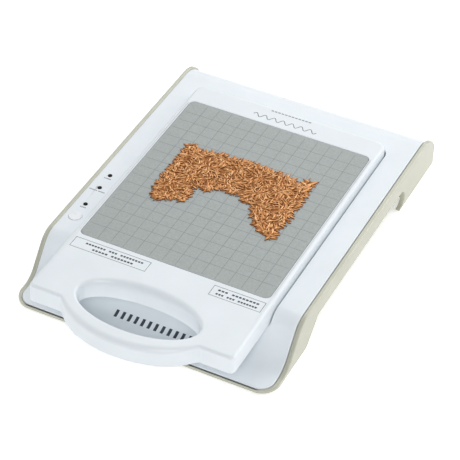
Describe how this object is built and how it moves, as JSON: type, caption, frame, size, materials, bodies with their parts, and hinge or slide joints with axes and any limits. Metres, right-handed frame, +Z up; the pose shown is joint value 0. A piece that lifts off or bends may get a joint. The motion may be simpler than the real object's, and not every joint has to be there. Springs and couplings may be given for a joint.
{
  "type": "heated foil platform for die cutting machine",
  "caption": "Low bridge-shaped powered base with a lift-off hot platform: grid panel, loop handle and a leafy arch foil plate lying on it.",
  "frame": {"origin": "on the table under the centre of the overall outline", "axes": "+X to the user's right, +Y from the handle to the back, +Z up"},
  "size_m": [0.1992, 0.3098, 0.0392],
  "materials": {
    "white_plastic": "satin white moulding",
    "white_button": "satin white moulding",
    "champagne_plastic": "fine satin champagne moulding",
    "label_foil": "blank brushed foil",
    "foot_rubber": "matte",
    "steel": "zinc plated",
    "circuit_board": "solder mask",
    "component_blue": "moulded",
    "component_black": "moulded",
    "transformer_tape": "tape wound",
    "fuse_glass": "clear",
    "fuse_ceramic": "matte",
    "black_plastic": "fine texture",
    "rocker_plastic": "gloss",
    "brass": "gold flashed",
    "led_body": "diffused",
    "dark_lens": "smoked",
    "wire_insulation": "silicone sleeve",
    "aluminium_plate": "milled",
    "panel_grey": "satin non-stick coating with a printed grid",
    "heater_film": "etched foil",
    "fibre_pad": "pressed fibre",
    "plain_steel": "cold rolled",
    "copper_plate": "copper-coloured relief plate"
  },
  "bodies": {
    "base": {"lower_shell": "champagne_plastic", "top_cover": "white_plastic", "rear_base_plate": "champagne_plastic", "rating_plate": "label_foil", "rubber_feet": "foot_rubber", "cover_screws": "steel", "base_plate_screws": "steel", "power_board": "circuit_board", "power_relay": "component_blue", "filter_capacitors": "component_black", "transformer": "transformer_tape", "board_fuse": "fuse_glass", "power_inlet": "black_plastic", "inlet_pins": "brass", "switch_housing": "black_plastic", "control_board": "circuit_board", "control_board_screws": "steel", "indicator_leds": "led_body", "indicator_lenses": "dark_lens", "timer_switch": "component_black", "button_spring": "steel", "contact_block": "black_plastic", "contact_springs": "steel", "locating_pegs": "steel", "base_wiring": "wire_insulation"},
    "platform": {"platform_frame": "white_plastic", "platform_bottom": "white_plastic", "platform_screws": "steel", "hot_plate": "aluminium_plate", "grid_panel": "panel_grey", "heating_element": "heater_film", "insulation_pad": "fibre_pad", "pressure_plate": "plain_steel", "thermistor": "component_black", "thermal_fuse": "fuse_ceramic", "platform_contacts": "brass", "platform_wiring": "wire_insulation"},
    "foil_plate": {"foil_plate": "copper_plate"},
    "timer_button": {"timer_button": "white_button"},
    "power_rocker": {"power_rocker": "rocker_plastic"},
    "contact_pin_1": {"contact_pin_1": "brass"},
    "contact_pin_2": {"contact_pin_2": "brass"},
    "contact_pin_3": {"contact_pin_3": "brass"},
    "contact_pin_4": {"contact_pin_4": "brass"}
  },
  "joints": [
    {"name": "platform_lift", "type": "slide", "parent": "base", "child": "platform", "axis": [0, 0, 1], "range_m": [0, 0.12]},
    {"name": "foil_plate_lift", "type": "slide", "parent": "platform", "child": "foil_plate", "axis": [0, 0, 1], "range_m": [0, 0.08]},
    {"name": "timer_press", "type": "slide", "parent": "base", "child": "timer_button", "axis": [0, 0, -1], "range_m": [0, 0.0008], "stiffness_N_per_m": 400, "deforming": ["button_spring"]},
    {"name": "power_rock", "type": "hinge", "parent": "base", "child": "power_rocker", "pos_m": [0.034, 0.1498, 0.0081], "axis": [0, 0, 1], "range_deg": [0, 16]},
    {"name": "contact_press_1", "type": "slide", "parent": "base", "child": "contact_pin_1", "axis": [0, 0, -1], "range_m": [0, 0.0012], "stiffness_N_per_m": 300, "deforming": ["contact_springs"]},
    {"name": "contact_press_2", "type": "slide", "parent": "base", "child": "contact_pin_2", "axis": [0, 0, -1], "range_m": [0, 0.0012], "stiffness_N_per_m": 300},
    {"name": "contact_press_3", "type": "slide", "parent": "base", "child": "contact_pin_3", "axis": [0, 0, -1], "range_m": [0, 0.0012], "stiffness_N_per_m": 300},
    {"name": "contact_press_4", "type": "slide", "parent": "base", "child": "contact_pin_4", "axis": [0, 0, -1], "range_m": [0, 0.0012], "stiffness_N_per_m": 300}
  ],
  "couplings": [
    {"joint": "contact_press_2", "follows": "contact_press_1", "ratio": 1},
    {"joint": "contact_press_3", "follows": "contact_press_1", "ratio": 1},
    {"joint": "contact_press_4", "follows": "contact_press_1", "ratio": 1}
  ]
}
